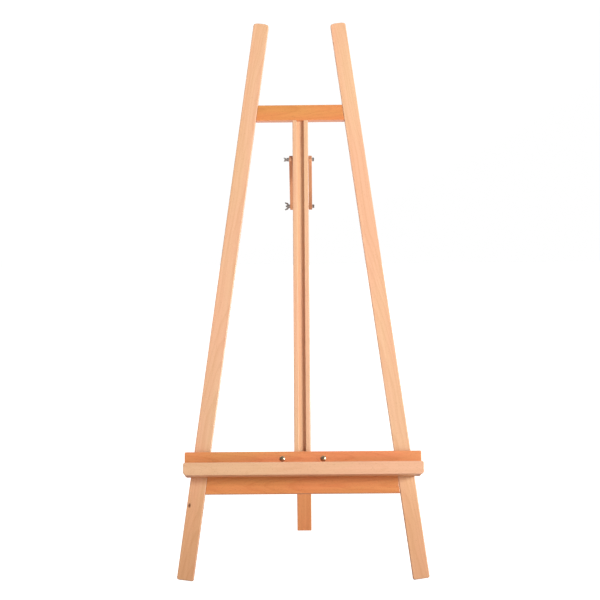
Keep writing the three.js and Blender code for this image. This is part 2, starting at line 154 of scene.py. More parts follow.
class Graph:
    """Adds nodes to one material or world. An input is a number, a colour or another node's output."""

    def __init__(self, tree):
        self.tree = tree

    def node(self, kind, inputs=None, **settings):
        made = self.tree.nodes.new(kind)
        for name, value in settings.items():
            setattr(made, name, value)
        for name, value in (inputs or {}).items():
            if isinstance(value, bpy.types.NodeSocket):
                self.tree.links.new(value, made.inputs[name])
            else:
                made.inputs[name].default_value = value
        return made

    def math(self, operation, first, second=0.0, clamp=False):
        made = self.node("ShaderNodeMath", {0: first, 1: second}, operation=operation, use_clamp=clamp)
        return made.outputs[0]

    def vector(self, operation, first, second):
        made = self.node("ShaderNodeVectorMath", {0: first, 1: second}, operation=operation)
        return made.outputs["Value" if operation == "LENGTH" else "Vector"]

    def stretch(self, place, scale, seed):
        shifted = (seed * 1.37, seed * 0.71, seed * 2.13)
        made = self.node("ShaderNodeMapping", {"Vector": place, "Location": shifted, "Scale": scale})
        return made.outputs[0]

    def noise(self, place, scale=1.0, detail=2.0, output="Fac"):
        made = self.node("ShaderNodeTexNoise", {"Vector": place, "Scale": scale, "Detail": detail})
        return made.outputs[output]

    def noise_line(self, value, detail=1.0):
        settings = {"W": value, "Scale": 1.0, "Detail": detail}
        made = self.node("ShaderNodeTexNoise", settings, noise_dimensions="1D")
        return made.outputs["Fac"]

    def ramp(self, value, *stops):
        """A smooth curve through (place, height) stops."""
        made = self.node("ShaderNodeValToRGB", {"Fac": value})
        elements = made.color_ramp.elements
        while len(elements) < len(stops):
            elements.new(0.5)
        for element, (place, height) in zip(elements, stops):
            element.position = place
            element.color = (height, height, height, 1)
        return made.outputs["Color"]

    def mix(self, share, first, second, blend="MIX"):
        sockets = {0: share, 6: first, 7: second}
        made = self.node("ShaderNodeMix", sockets, data_type="RGBA", blend_type=blend)
        return made.outputs[2]


def colour(red, green, blue):
    """A display colour of 0 to 255, as the linear colour that a shader takes."""
    def linear(value):
        value /= 255
        return value / 12.92 if value <= 0.04045 else ((value + 0.055) / 1.055) ** 2.4
    return (linear(red), linear(green), linear(blue), 1)


def surface(name, **constants):
    """A new material with one Principled shader. Constants are the shader's own sockets."""
    made = bpy.data.materials.new(name)
    made.use_nodes = True
    graph = Graph(made.node_tree)
    shader = made.node_tree.nodes["Principled BSDF"]
    for socket, value in constants.items():
        shader.inputs[socket.replace("_", " ")].default_value = value
    return made, graph, shader


# ---------------------------------------------------------------- materials

PALE = (colour(236, 192, 157), colour(216, 162, 120))
RED = (colour(227, 153, 93), colour(200, 116, 60))
BRIGHT_RED = (colour(234, 162, 106), colour(208, 124, 70))
MIDDLE = (colour(222, 166, 124), colour(196, 134, 92))
# A lighter copy of the red wood for the rear leg: painted light, making up for the key light falling off on
# the leg further back.
REAR_LEG_LIT_RED = (colour(248, 172, 116), colour(224, 138, 82))
KNOT = colour(116, 66, 34)


def wood(name, tones, pith, slope, seed, ring=3.2 * MM, figure=0.45, patchy=1.0, knot=None,
         deep_below=None):
    """Clear-coated beech. The rings are cylinders about a pith that lies outside the board.

    pith is where the pith's line crosses the board's own XY plane, and slope is how it leans along Z.
    A knot is at (x, z) on the board's face. Below the height deep_below, the colour turns darker and redder.
    """
    made, graph, shader = surface("wood_" + name, Coat_Weight=0.9, Coat_Roughness=0.25, IOR=1.5)
    place = graph.node("ShaderNodeTexCoord").outputs["Object"]
    early, late = tones

    # rings: distance from the pith's line, which wanders along the board
    wander = graph.noise(graph.stretch(place, (6, 6, 2.2), seed), detail=3, output="Color")
    wander = graph.vector("SUBTRACT", wander, (0.5, 0.5, 0.5))
    bent = graph.vector("ADD", place, graph.vector("MULTIPLY", wander, (0.022, 0.022, 0)))
    parts = graph.node("ShaderNodeSeparateXYZ", {"Vector": bent})
    lean_x = graph.math("MULTIPLY", parts.outputs["Z"], slope[0])
    lean_y = graph.math("MULTIPLY", parts.outputs["Z"], slope[1])
    offset_x = graph.math("SUBTRACT", parts.outputs["X"], lean_x)
    offset_y = graph.math("SUBTRACT", parts.outputs["Y"], lean_y)
    flat = graph.node("ShaderNodeCombineXYZ", {"X": offset_x, "Y": offset_y})
    from_pith = graph.vector("SUBTRACT", flat.outputs[0], (pith[0], pith[1], 0))
    reach = graph.vector("LENGTH", from_pith, (0, 0, 0))
    if knot:
        away = graph.vector("SUBTRACT", place, (knot[0], 0, knot[1]))
        away = graph.vector("MULTIPLY", away, (1, 0, 0.55))
        distance = graph.vector("LENGTH", away, (0, 0, 0))
        swirl = graph.ramp(graph.math("MULTIPLY", distance, 60), (0, 1), (0.35, 0.45), (1, 0))
        reach = graph.math("ADD", reach, graph.math("MULTIPLY", swirl, 0.008))
    rings = graph.math("DIVIDE", reach, ring)
    uneven = graph.math("MULTIPLY", graph.noise_line(graph.math("MULTIPLY", rings, 0.37)), 1.8)
    phase = graph.math("FRACT", graph.math("ADD", rings, uneven))
    line = graph.ramp(phase, (0, 0.12), (0.1, 0), (0.55, 0.16), (0.9, 1), (1, 0.12))
    season = graph.noise_line(graph.math("ADD", graph.math("MULTIPLY", rings, 0.23), seed))

    # fibres, and the short dark flecks of beech
    fibre = graph.noise(graph.stretch(place, (1500, 1500, 22), seed), detail=3)
    streak = graph.noise(graph.stretch(place, (170, 170, 3.5), seed + 3), detail=3)
    fleck = graph.noise(graph.stretch(place, (1100, 1100, 210), seed + 5), detail=1)
    fleck = graph.ramp(fleck, (0, 0), (0.63, 0), (0.7, 1))
    cloud = graph.noise(graph.stretch(place, (14, 14, 3), seed + 7), detail=2)

    grain = graph.math("MULTIPLY", line, figure * 0.55)
    seasonal = graph.math("MULTIPLY", graph.ramp(season, (0.3, 0), (0.7, 1)), figure * 0.4)
    grain = graph.math("ADD", grain, seasonal)
    grain = graph.math("ADD", grain, graph.math("MULTIPLY", graph.ramp(streak, (0.35, 0), (0.68, 1)), 0.22))
    grain = graph.math("ADD", grain, graph.math("MULTIPLY", fibre, 0.12), clamp=True)
    tone = graph.mix(grain, early, late)
    ruddy = (1 + 0.02 * patchy, 1 - 0.03 * patchy, 1 - 0.03 * patchy, 1)
    golden = (1 - 0.01 * patchy, 1 + 0.02 * patchy, 1 - 0.04 * patchy, 1)
    patch = graph.mix(graph.ramp(cloud, (0.38, 0), (0.62, 1)), ruddy, golden)
    tone = graph.mix(1.0, tone, patch, "MULTIPLY")
    if deep_below:
        height = graph.node("ShaderNodeSeparateXYZ", {"Vector": place}).outputs["Z"]
        low = graph.ramp(graph.math("DIVIDE", height, deep_below, clamp=True), (0.45, 1), (0.95, 0))
        tone = graph.mix(low, tone, graph.mix(1.0, tone, (0.99, 0.9, 0.8, 1), "MULTIPLY"))
    fleck_tone = graph.mix(1.0, late, (0.6, 0.5, 0.45, 1), "MULTIPLY")
    tone = graph.mix(graph.math("MULTIPLY", fleck, 0.34), tone, fleck_tone)

    # sawn ends drink more finish, and rounded edges are rubbed paler
    normal = graph.node("ShaderNodeTexCoord").outputs["Normal"]
    facing = graph.node("ShaderNodeSeparateXYZ", {"Vector": graph.node(
        "ShaderNodeVectorMath", {0: normal}, operation="ABSOLUTE").outputs[0]})
    end = graph.ramp(facing.outputs["Z"], (0.6, 0), (0.9, 1))
    widest = graph.math("MAXIMUM", facing.outputs["X"], facing.outputs["Y"])
    edge = graph.ramp(graph.math("MAXIMUM", widest, facing.outputs["Z"]), (0.72, 1), (0.97, 0))
    end_tone = graph.mix(1.0, tone, (0.62, 0.5, 0.42, 1), "MULTIPLY")
    tone = graph.mix(graph.math("MULTIPLY", end, 0.55), tone, end_tone)
    rubbed = graph.math("MULTIPLY", edge, graph.math("MULTIPLY", streak, 0.2))
    tone = graph.mix(rubbed, tone, graph.mix(0.5, early, (1, 1, 1, 1)))
    if knot:
        heart = graph.ramp(graph.math("MULTIPLY", distance, 140), (0.2, 1), (0.42, 0.55), (0.6, 0))
        tone = graph.mix(heart, tone, KNOT)

    graph.tree.links.new(tone, shader.inputs["Base Color"])
    rough = graph.math("ADD", 0.4, graph.math("MULTIPLY", fibre, 0.16))
    rough = graph.math("ADD", rough, graph.math("MULTIPLY", end, 0.14))
    graph.tree.links.new(rough, shader.inputs["Roughness"])
    height = graph.math("ADD", graph.math("MULTIPLY", fibre, 0.5), graph.math("MULTIPLY", line, 0.35))
    height = graph.math("SUBTRACT", height, graph.math("MULTIPLY", fleck, 0.8))
    bump = graph.node("ShaderNodeBump", {"Strength": 0.35, "Distance": 0.12 * MM, "Height": height})
    graph.tree.links.new(bump.outputs[0], shader.inputs["Normal"])
    return made


def metal(name, light, dark, low, high, grain):
    """Plated steel: cloudy plating, fine tool marks, and darker where it is rubbed less."""
    made, graph, shader = surface(name, Metallic=1.0)
    place = graph.node("ShaderNodeTexCoord").outputs["Object"]
    cloud = graph.noise(place, scale=260, detail=4)
    fine = graph.noise(place, scale=grain, detail=3)
    tone = graph.mix(graph.ramp(cloud, (0.35, 0), (0.68, 1)), light, dark)
    graph.tree.links.new(tone, shader.inputs["Base Color"])
    spread = graph.math("MULTIPLY", graph.ramp(fine, (0.3, 0), (0.7, 1)), high - low)
    graph.tree.links.new(graph.math("ADD", spread, low), shader.inputs["Roughness"])
    bump = graph.node("ShaderNodeBump", {"Strength": 0.2, "Distance": 0.05 * MM, "Height": fine})
    graph.tree.links.new(bump.outputs[0], shader.inputs["Normal"])
    return made


STEEL = metal("zinc_steel", colour(206, 206, 202), colour(168, 169, 168), 0.22, 0.42, 2600)
CAST = metal("cast_zinc", colour(186, 187, 186), colour(150, 151, 152), 0.34, 0.55, 1700)
BRASS = metal("passivated_steel", colour(226, 202, 168), colour(190, 166, 132), 0.22, 0.38, 2600)

# ---------------------------------------------------------------- mesh making


def rounded(corners, steps=6):
    """A closed outline through corners of (u, v, radius), each turned into an arc of its radius."""
    outline = []
    for i, (u, v, radius) in enumerate(corners):
        corner = Vector((u, v))
        if radius == 0:
            outline.append(corner)
            continue
        before = (Vector(corners[i - 1][:2]) - corner).normalized()
        after = (Vector(corners[(i + 1) % len(corners)][:2]) - corner).normalized()
        half = before.angle(after) / 2
        centre = corner + (before + after).normalized() * radius / math.sin(half)
        start = (corner + before * radius / math.tan(half) - centre).normalized()
        stop = (corner + after * radius / math.tan(half) - centre).normalized()
        outline += [centre + start.slerp(stop, k / steps) * radius for k in range(steps + 1)]
    return outline


def extrude(outline, lift):
    """A closed bmesh between a flat outline of 3D points and its copy, moved by lift."""
    made = bmesh.new()
    low = [made.verts.new(point) for point in outline]
    high = [made.verts.new(Vector(point) + Vector(lift)) for point in outline]
    made.faces.new(low)
    made.faces.new(list(reversed(high)))
    count = len(outline)
    for i in range(count):
        made.faces.new((low[i], high[i], high[(i + 1) % count], low[(i + 1) % count]))
    bmesh.ops.remove_doubles(made, verts=made.verts, dist=1e-7)
    bmesh.ops.recalc_face_normals(made, faces=made.faces)
    return made


def ease(made, radius, steps=4, sharper_than=50):
    """Rounds the edges that are sharper than an angle in degrees."""
    sharp = [edge for edge in made.edges if edge.calc_face_angle(0) > math.radians(sharper_than)]
    bmesh.ops.bevel(made, geom=sharp, offset=radius, segments=steps, profile=0.5, affect="EDGES",
                    clamp_overlap=True)
    return made


def turned(profile, steps=32, thread=None, depth=THREAD_DEPTH, pitch=THREAD_PITCH):
    """A closed bmesh turned about Z from (radius, height) points, from the top down.

    thread is the (top, bottom) heights between which a helical thread is cut.
    """
    levels = [height for _, height in profile]
    if thread:
        count = round((thread[0] - thread[1]) / pitch * 6)
        cut_levels = {thread[0] - (thread[0] - thread[1]) * k / count for k in range(count + 1)}
        levels = sorted(set(levels) | cut_levels)
        levels.reverse()
        rings = [(radius_at(profile, height), height) for height in levels]
    else:
        rings = profile
    made = bmesh.new()
    rows = []
    for radius, height in rings:
        if radius < 1e-6:
            rows.append([made.verts.new((0, 0, height))] * steps)
            continue
        row = []
        for k in range(steps):
            turn = math.tau * k / steps
            cut = 0
            if thread and thread[1] <= height <= thread[0]:
                phase = (height / pitch - k / steps) % 1
                fade = min(1, (thread[0] - height) / pitch)
                cut = depth * fade * (1 - abs(2 * phase - 1))
            reach = radius - cut
            row.append(made.verts.new((reach * math.cos(turn), reach * math.sin(turn), height)))
        rows.append(row)
    for upper, lower in zip(rows, rows[1:]):
        for k in range(steps):
            ring = [upper[k], lower[k], lower[(k + 1) % steps], upper[(k + 1) % steps]]
            corners = [vertex for i, vertex in enumerate(ring) if vertex not in ring[:i]]
            if len(corners) > 2:
                made.faces.new(corners)
    for row, way in ((rows[0], 1), (rows[-1], -1)):
        if row[0] != row[1]:
            made.faces.new(row[::way])
    bmesh.ops.recalc_face_normals(made, faces=made.faces)
    return made


def radius_at(profile, height):
    for (upper_radius, upper), (lower_radius, lower) in zip(profile, profile[1:]):
        if lower <= height <= upper and upper > lower:
            share = (upper - height) / (upper - lower)
            return upper_radius + (lower_radius - upper_radius) * share
    return profile[-1][0]


def piece(name, made, placement, material):
    """An object from a bmesh, placed in the shared frame."""
    mesh = bpy.data.meshes.new(name)
    made.to_mesh(mesh)
    made.free()
    mesh.polygons.foreach_set("use_smooth", [True] * len(mesh.polygons))
    obj = bpy.data.objects.new(name, mesh)
    bpy.context.scene.collection.objects.link(obj)
    obj.matrix_world = placement
    if material:
        mesh.materials.append(material)
    return obj


def settle(obj):
    """Applies an object's modifiers."""
    bpy.context.view_layer.update()
    graph = bpy.context.evaluated_depsgraph_get()
    mesh = bpy.data.meshes.new_from_object(obj.evaluated_get(graph))
    old = obj.data
    obj.modifiers.clear()
    obj.data = mesh
    mesh.name = old.name
    bpy.data.meshes.remove(old)
    return obj


def combine(obj, made, operation="DIFFERENCE", placement=Matrix.Identity(4)):
    """Cuts a bmesh out of an object, or joins it on. placement is in the object's own frame."""
    tool = piece("tool", made, obj.matrix_world @ placement, None)
    modifier = obj.modifiers.new("tool", "BOOLEAN")
    modifier.operation = operation
    modifier.solver = "EXACT"
    modifier.object = tool
    settle(obj)
    mesh = tool.data
    bpy.data.objects.remove(tool)
    bpy.data.meshes.remove(mesh)
    return obj


def shade(obj, angle=35):
    """Smooth shading that keeps the large faces flat."""
    modifier = obj.modifiers.new("shade", "WEIGHTED_NORMAL")
    modifier.weight = 60
    modifier.keep_sharp = True
    obj.data.set_sharp_from_angle(angle=math.radians(angle))
    return obj


def belongs(obj, body, slot, *nodes):
    """obj moves with body, and stands for the CAD nodes, which it hides. slot is not used."""
    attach(obj, body)
    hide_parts(*(nodes or [obj.name.removeprefix("look_")]))
    return obj


def drill(obj, radius, start, stop, steps=24):
    """Bores a round hole, between two points in the object's own frame."""
    start, stop = Vector(start), Vector(stop)
    length = (stop - start).length
    bore = turned([(0, length), (radius, length), (radius, 0), (0, 0)], steps)
    side = ACROSS if abs((stop - start).normalized().x) < 0.9 else Vector((0, 1, 0))
    return combine(obj, bore, placement=along(start, stop - start, side))


# ---------------------------------------------------------------- boards


def board(name, corners, thickness, radius, placement, material, steps=4):
    """A board from its outline of (x, z, corner radius), with rounded edges."""
    outline = [Vector((u, -thickness / 2, v)) for u, v in rounded(corners)]
    made = ease(extrude(outline, (0, thickness, 0)), radius, steps)
    return piece("look_" + name, made, placement, material)


def rectangle(low_x, high_x, low_z, high_z, low_round, high_round):
    return [(low_x, low_z, low_round), (high_x, low_z, low_round), (high_x, high_z, high_round),
            (low_x, high_z, high_round)]


def inner_face(z):
    """Distance from the mid plane to a leg's inner face, at a height up the slope."""
    splay = math.atan((FOOT_SPREAD - HEAD_SPREAD) / FRAME_RISE)
    centre = FOOT_SPREAD + (HEAD_SPREAD - FOOT_SPREAD) * z / FRAME_RISE
    return centre - STOCK / 2 / math.cos(splay)


def leg(side, name, grain, knot=None):
    splay = math.atan((FOOT_SPREAD - HEAD_SPREAD) / FRAME_RISE)
    length = FRAME_RISE / math.cos(splay)
    placement = FRONT @ shift(side * FOOT_SPREAD, MID_DEPTH, 0) @ Matrix.Rotation(-side * splay, 4, "Y")
    half = STOCK / 2
    edge = length - LEG_CROWN
    corners = [(-half, 0, LEG_FOOT_ROUND), (half, 0, LEG_FOOT_ROUND),
               (half, edge, LEG_EDGE_ROUND), (half / 2, length, LEG_CROWN_ROUND),
               (-half / 2, length, LEG_CROWN_ROUND), (-half, edge, LEG_EDGE_ROUND)]
    obj = board(name, corners, LEG_THICK, ARRIS, placement, wood(name, PALE, knot=knot, **grain))
    belongs(shade(obj), "front_frame", "pale_wood")


def rail(name, z, grain):
    low, high = inner_face(z) - GAP, inner_face(z + RAIL_HEIGHT) - GAP
    corners = [(0, -low, 0), (0, low, 0), (RAIL_HEIGHT, high, 0), (RAIL_HEIGHT, -high, 0)]
    placement = FRONT @ shift(0, MID_DEPTH, z) @ LYING
    obj = board(name, corners, RAIL_THICK, RAIL_ARRIS, placement, wood(name, RED, **grain))
    belongs(shade(obj), "front_frame", "red_wood")


def mast(grain):
    low, high = BOTTOM_RAIL_Z + RAIL_HEIGHT + GAP, TOP_RAIL_Z - GAP
    half, slot, lip = STOCK / 2, GROOVE_WIDTH / 2, 0.5 * MM
    corners = [(-half, 0, ARRIS), (-slot, 0, lip), (-slot, GROOVE_DEPTH, lip),
               (slot, GROOVE_DEPTH, lip), (slot, 0, lip), (half, 0, ARRIS),
               (half, LEG_THICK, ARRIS), (-half, LEG_THICK, ARRIS)]
    outline = [Vector((x, y, 0)) for x, y in rounded(corners, 4)]
    made = extrude(outline, (0, 0, high - low))
    obj = piece("look_mast", made, FRONT @ shift(0, 0, low), wood("mast", PALE, **grain))
    bolt_z = PIVOT_Z - low
    drill(obj, BOLT_HOLE, (-STOCK, PIVOT_DEPTH, bolt_z), (STOCK, PIVOT_DEPTH, bolt_z))
    belongs(shade(obj), "front_frame", "pale_wood")


def front_frame():
    leg(-1, "left_leg", dict(pith=(0.012, 0.075), slope=(0.012, 0.02), seed=1.3, deep_below=0.4),
        knot=(-0.0152, 0.196))
    leg(1, "right_leg", dict(pith=(-0.02, 0.062), slope=(-0.01, 0.024), seed=4.1, deep_below=0.4))
    rail("top_rail", TOP_RAIL_Z, dict(pith=(0.03, 0.055), slope=(0.02, 0.05), seed=7.7, patchy=3))
    rail("bottom_rail", BOTTOM_RAIL_Z, dict(pith=(0.016, 0.07), slope=(0.015, -0.03), seed=9.2, patchy=3))
    mast(dict(pith=(0.03, 0.09), slope=(0.008, 0.012), seed=12.9, figure=0.4))


# ---------------------------------------------------------------- tray


def tray_board(name, length, height, thickness, ends, middle, tones, slot, grain, radius, steps=4):
    """A board that lies across the easel. middle is its (x, y) in the tray's frame."""
    half = length / 2
    corners = [(0, -half, ends[0]), (0, half, ends[0]), (height, half, ends[1]), (height, -half, ends[1])]
    placement = TRAY @ shift(*middle, 0) @ LYING
    obj = board(name, corners, thickness, radius, placement, wood(name, tones, **grain), steps)
    return belongs(shade(obj), "tray", slot)


def tray():
    back_y = -TRAY_BACK_THICK / 2
    shelf_y = -TRAY_BACK_THICK - GAP - SHELF_DEPTH / 2
    lip_y = shelf_y - SHELF_DEPTH / 2 - GAP - LIP_THICK / 2
    back = tray_board("tray_back", TRAY_LENGTH, TRAY_BACK_HEIGHT, TRAY_BACK_THICK,
                      (8 * MM, 3 * MM), (0, back_y), BRIGHT_RED, "red_wood",
                      dict(pith=(0.045, 0.05), slope=(0.004, 0.05), seed=15.4, ring=4 * MM, patchy=3), ARRIS)
    tray_board("tray_shelf", TRAY_LENGTH - 2 * MM, SHELF_THICK, SHELF_DEPTH, (8 * MM, 1 * MM), (0, shelf_y),
               PALE, "pale_wood", dict(pith=(0.06, 0.02), slope=(0.02, 0.01), seed=18.2), 0.6 * MM, 2)
    tray_board("tray_lip", LIP_LENGTH, LIP_HEIGHT, LIP_THICK, (9 * MM, 5 * MM), (LIP_SHIFT, lip_y),
               PALE, "pale_wood", dict(pith=(0.02, 0.085), slope=(0.01, 0.02), seed=21.6, figure=0.3),
               2.4 * MM, 5)

    cleat_y = LEG_THICK + 2 * GAP + CLEAT_THICK / 2
    cleat_half = CLEAT_LENGTH / 2
    cleat_z = TRAY_BOLT_Z - CLEAT_HEIGHT / 2
    corners = [(0, -cleat_half, 3 * MM), (0, cleat_half, 3 * MM), (CLEAT_HEIGHT, cleat_half, 3 * MM),
               (CLEAT_HEIGHT, -cleat_half, 3 * MM)]
    cleat = board("tray_cleat", corners, CLEAT_THICK, ARRIS, TRAY @ shift(0, cleat_y, cleat_z) @ LYING,
                  wood("tray_cleat", RED, pith=(0.03, -0.05), slope=(0.03, 0.02), seed=24.8))
    for side in (-1, 1):
        x = side * TRAY_BOLT_X
        drill(back, BOLT_HOLE, (TRAY_BOLT_Z, -TRAY_BACK_THICK, x), (TRAY_BOLT_Z, TRAY_BACK_THICK, x))
        drill(cleat, BOLT_HOLE, (CLEAT_HEIGHT / 2, -CLEAT_THICK, x), (CLEAT_HEIGHT / 2, CLEAT_THICK, x))
    belongs(shade(cleat), "tray", "red_wood")
    shade(back)


# ---------------------------------------------------------------- arms and rear leg


def side_board(name, width, thickness, low_z, high_z, low_round, high_round, radius, placement, material):
    """A board whose broad face looks along X: its width runs along the placement's Y."""
    turned_in = placement @ axes((0, 0, 0), (0, 1, 0), (-1, 0, 0), (0, 0, 1))
    corners = rectangle(-width / 2, width / 2, low_z, high_z, low_round, high_round)
    return board(name, corners, thickness, radius, turned_in, material)


def arms():
    for side, name, seed in ((-1, "left_arm", 27.3), (1, "right_arm", 31.7)):
        x = side * (STOCK / 2 + GAP + ARM_THICK / 2)
        material = wood(name, MIDDLE, pith=(0.05, 0.03 * side), slope=(0.02, 0.01), seed=seed)
        obj = side_board(name, ARM_WIDTH, ARM_THICK, -ARM_CENTRES - ARM_END, ARM_END,
                         ARM_CORNER, ARM_CORNER, ARM_ARRIS, ARMS @ shift(x, 0, 0), material)
        for z in (0, -ARM_CENTRES):
            drill(obj, BOLT_HOLE, (0, -ARM_THICK, z), (0, ARM_THICK, z))
        belongs(shade(obj), "arms", "arm_wood")


def rear_leg():
    half = LEG_THICK / 2
    length = (LOWER_PIVOT.z - half * math.sin(REAR_TILT)) / math.cos(REAR_TILT)
    material = wood("rear_leg", REAR_LEG_LIT_RED, pith=(0.02, 0.07), slope=(0.012, -0.02), seed=35.1)
    obj = side_board("rear_leg", LEG_THICK, STOCK, -length, half, 0, half * 0.96, ARRIS, REAR, material)
    drill(obj, BOLT_HOLE, (0, -STOCK, 0), (0, STOCK, 0))
    belongs(shade(obj), "rear_leg", "red_wood")


# ---------------------------------------------------------------- hardware


def place_of(node):
    """The middle of a CAD node's box."""
    low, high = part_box(node)
    return (low + high) / 2


def bolt_end(radius, length):
    """The lower end of a bolt's profile, with its chamfer."""
    return [(radius, -length + 0.6 * MM), (radius - 0.6 * MM, -length), (0, -length)]


def hex_bolt(name, seat, material=STEEL):
    """A hexagon bolt. Its head stands on the seat, and the shank runs down."""
    flats, head = 10 * MM, HEAD_HEIGHT
    corner = flats / math.sqrt(3)
    hexagon = [Vector((corner * math.cos(math.tau * k / 6), corner * math.sin(math.tau * k / 6), 0))
               for k in range(6)]
    obj = piece("look_" + name, extrude(hexagon, (0, 0, head)), along(seat, ACROSS, UP), material)
    cone = [(0, head), (flats * 0.47, head), (corner, head - 0.75 * MM), (corner, 0.25 * MM),
            (flats * 0.49, 0), (0, 0)]
    combine(obj, turned(cone, 48), "INTERSECT")
    shank = [(0, head / 2), (BOLT_RADIUS, head / 2)] + bolt_end(BOLT_RADIUS, BOLT_LENGTH)
    thread = (-BOLT_LENGTH + THREAD_LENGTH, -BOLT_LENGTH)
    combine(obj, turned(shank, 24, thread), "UNION")
    return belongs(shade(obj, 25), "arms", "steel")


def carriage_bolt(name, x):
    """A domed bolt with a square neck, which is drawn into the tray's back board."""
    dome_radius, dome_height, neck, neck_length = 7.8 * MM, 3.4 * MM, 5.8 * MM, 4 * MM
    rise = [(dome_radius * math.sin(turn), dome_height * math.cos(turn))
            for turn in (math.radians(9 * k) for k in range(10))]
    forward = Matrix.Rotation(math.radians(90), 4, "X")
    placement = TRAY @ shift(x, -TRAY_BACK_THICK - GAP, TRAY_BOLT_Z) @ forward
    obj = piece("look_" + name, turned(rise + [(0, 0)], 48), placement, BRASS)
    square = rounded([(-neck / 2, -neck / 2, 0.5 * MM), (neck / 2, -neck / 2, 0.5 * MM),
                      (neck / 2, neck / 2, 0.5 * MM), (-neck / 2, neck / 2, 0.5 * MM)], 3)
    base = [Vector((u, v, -neck_length)) for u, v in square]
    combine(obj, extrude(base, (0, 0, neck_length + 1 * MM)), "UNION")
    shank = [(0, 1 * MM), (BOLT_RADIUS, 1 * MM)] + bolt_end(BOLT_RADIUS, CARRIAGE_LENGTH)
    combine(obj, turned(shank, 24, (-CARRIAGE_LENGTH + THREAD_LENGTH, -CARRIAGE_LENGTH)), "UNION")
    return belongs(shade(obj, 40), "tray", "brass")


def washer(name, axis, body):
    inner, outer, half, soft = BOLT_RADIUS + GAP, 6 * MM, WASHER_THICK / 2, 0.25 * MM
    section = [(inner, half - soft), (inner + soft, half), (outer - soft, half), (outer, half - soft),
               (outer, soft - half), (outer - soft, -half), (inner + soft, -half), (inner, soft - half)]
    made = bmesh.new()
    steps = 40
    rows = [[made.verts.new((r * math.cos(math.tau * k / steps), r * math.sin(math.tau * k / steps), h))
             for r, h in section] for k in range(steps)]
    for k in range(steps):
        here, there = rows[k], rows[(k + 1) % steps]
        for i in range(len(section)):
            following = (i + 1) % len(section)
            made.faces.new((here[i], here[following], there[following], there[i]))
    bmesh.ops.recalc_face_normals(made, faces=made.faces)
    obj = piece("look_" + name, made, along(place_of(name), axis, UP), STEEL)
    return belongs(shade(obj), body, "steel")


def wing_nut(name, seat, axis, wing_way, body):
    """A cast wing nut. It is built of a hub and two wings, melted together, and then bored."""
    base, tip, height = 5.6, 4.4, 6.5
    reach, top, thick = 12.5, 13, 2.2
    hub = turned([(0, height), (tip, height), (base, 0), (0, 0)], 32)
    wing = rounded([(tip - 1, 0.8, 0), (base, 0.8, 0), (10.5, 4.4, 4), (reach, top - 1.5, 2),
                    (reach - 0.6, top, 1.2), (reach - 3.6, top, 2), (base + 1.2, 8.6, 4),
                    (tip - 1, height - 0.3, 0)])
    obj = piece("look_" + name, hub, Matrix.Identity(4), CAST)
    for side in (1, -1):
        outline = [Vector((side * u, -thick / 2, v)) for u, v in wing]
        combine(obj, ease(extrude(outline, (0, thick, 0)), 0.5, 2), "UNION")
    melt = obj.modifiers.new("melt", "REMESH")
    melt.mode = "VOXEL"
    melt.voxel_size = 0.32
    soften = obj.modifiers.new("soften", "SMOOTH")
    soften.factor = 0.6
    soften.iterations = 5
    thin = obj.modifiers.new("thin", "DECIMATE")
    thin.ratio = 0.3
    settle(obj)
    combine(obj, turned([(0, 20), (3.4, 20), (3.4, -5), (0, -5)], 32))
    obj.data.transform(Matrix.Scale(MM, 4))
    obj.matrix_world = along(seat, axis, wing_way)
    return belongs(shade(obj, 50), body, "steel")


def wood_screw(name, x):
    """A countersunk screw with a cross recess. Its flat head is level with the board's back."""
    head, shank, length, sink = 4 * MM, 2 * MM, 40 * MM, 2.6 * MM
    profile = [(0, 0), (head - 0.15 * MM, 0), (head, -0.2 * MM), (shank, -sink), (shank, -length + 6 * MM),
               (0.3 * MM, -length), (0, -length)]
    made = turned(profile, 24, (-length * 0.4, -length + 1 * MM), 0.7 * MM, 2 * MM)
    placement = TRAY @ shift(x, -GAP, SHELF_THICK / 2) @ Matrix.Rotation(math.radians(-90), 4, "X")
    obj = piece("look_" + name, made, placement, STEEL)
    wide, deep, narrow = 2.3 * MM, 2.1 * MM, 0.7 * MM
    plate = [Vector((-wide, -0.45 * MM, 0.4 * MM)), Vector((wide, -0.45 * MM, 0.4 * MM)),
             Vector((narrow, -0.45 * MM, -deep)), Vector((-narrow, -0.45 * MM, -deep))]
    for turn in (0, 90):
        combine(obj, extrude(plate, (0, 0.9 * MM, 0)),
                placement=Matrix.Rotation(math.radians(turn + 20), 4, "Z"))
    return belongs(shade(obj, 30), "tray", "steel")


def hardware():
    seat_x = STOCK / 2 + GAP + ARM_THICK + GAP + WASHER_THICK + GAP
    arm_turn = ARMS.to_3x3()
    for part, centre, turn in (("arm", UPPER_PIVOT, 115), ("leg", LOWER_PIVOT, 25)):
        hex_bolt(part + "_bolt", centre + ACROSS * seat_x)
        for side in ("left", "right"):
            washer(f"{part}_washer_{side}", ACROSS, "arms")
        way = Matrix.Rotation(math.radians(turn), 3, "X") @ Vector((0, 1, 0))
        wing_nut(part + "_wing_nut", centre - ACROSS * seat_x, -ACROSS, arm_turn @ way, part + "_wing_nut")
    nut_y = LEG_THICK + 2 * GAP + CLEAT_THICK + GAP + WASHER_THICK + GAP
    for side, x in (("left", -TRAY_BOLT_X), ("right", TRAY_BOLT_X)):
        carriage_bolt("carriage_bolt_" + side, x)
        washer("tray_washer_" + side, BACK, "tray")
        wing_nut("tray_wing_nut_" + side, TRAY @ Vector((x, nut_y, TRAY_BOLT_Z)), BACK, ACROSS,
                 "tray_wing_nut_" + side)
    for i, share in enumerate(FIXING_PLACES):
        wood_screw(f"tray_screw_{i + 1}", share * TRAY_LENGTH)


# ---------------------------------------------------------------- dowels

DOWEL_WOOD = wood("dowels", PALE, pith=(0.03, 0.03), slope=(0.01, 0.01), seed=40.5)


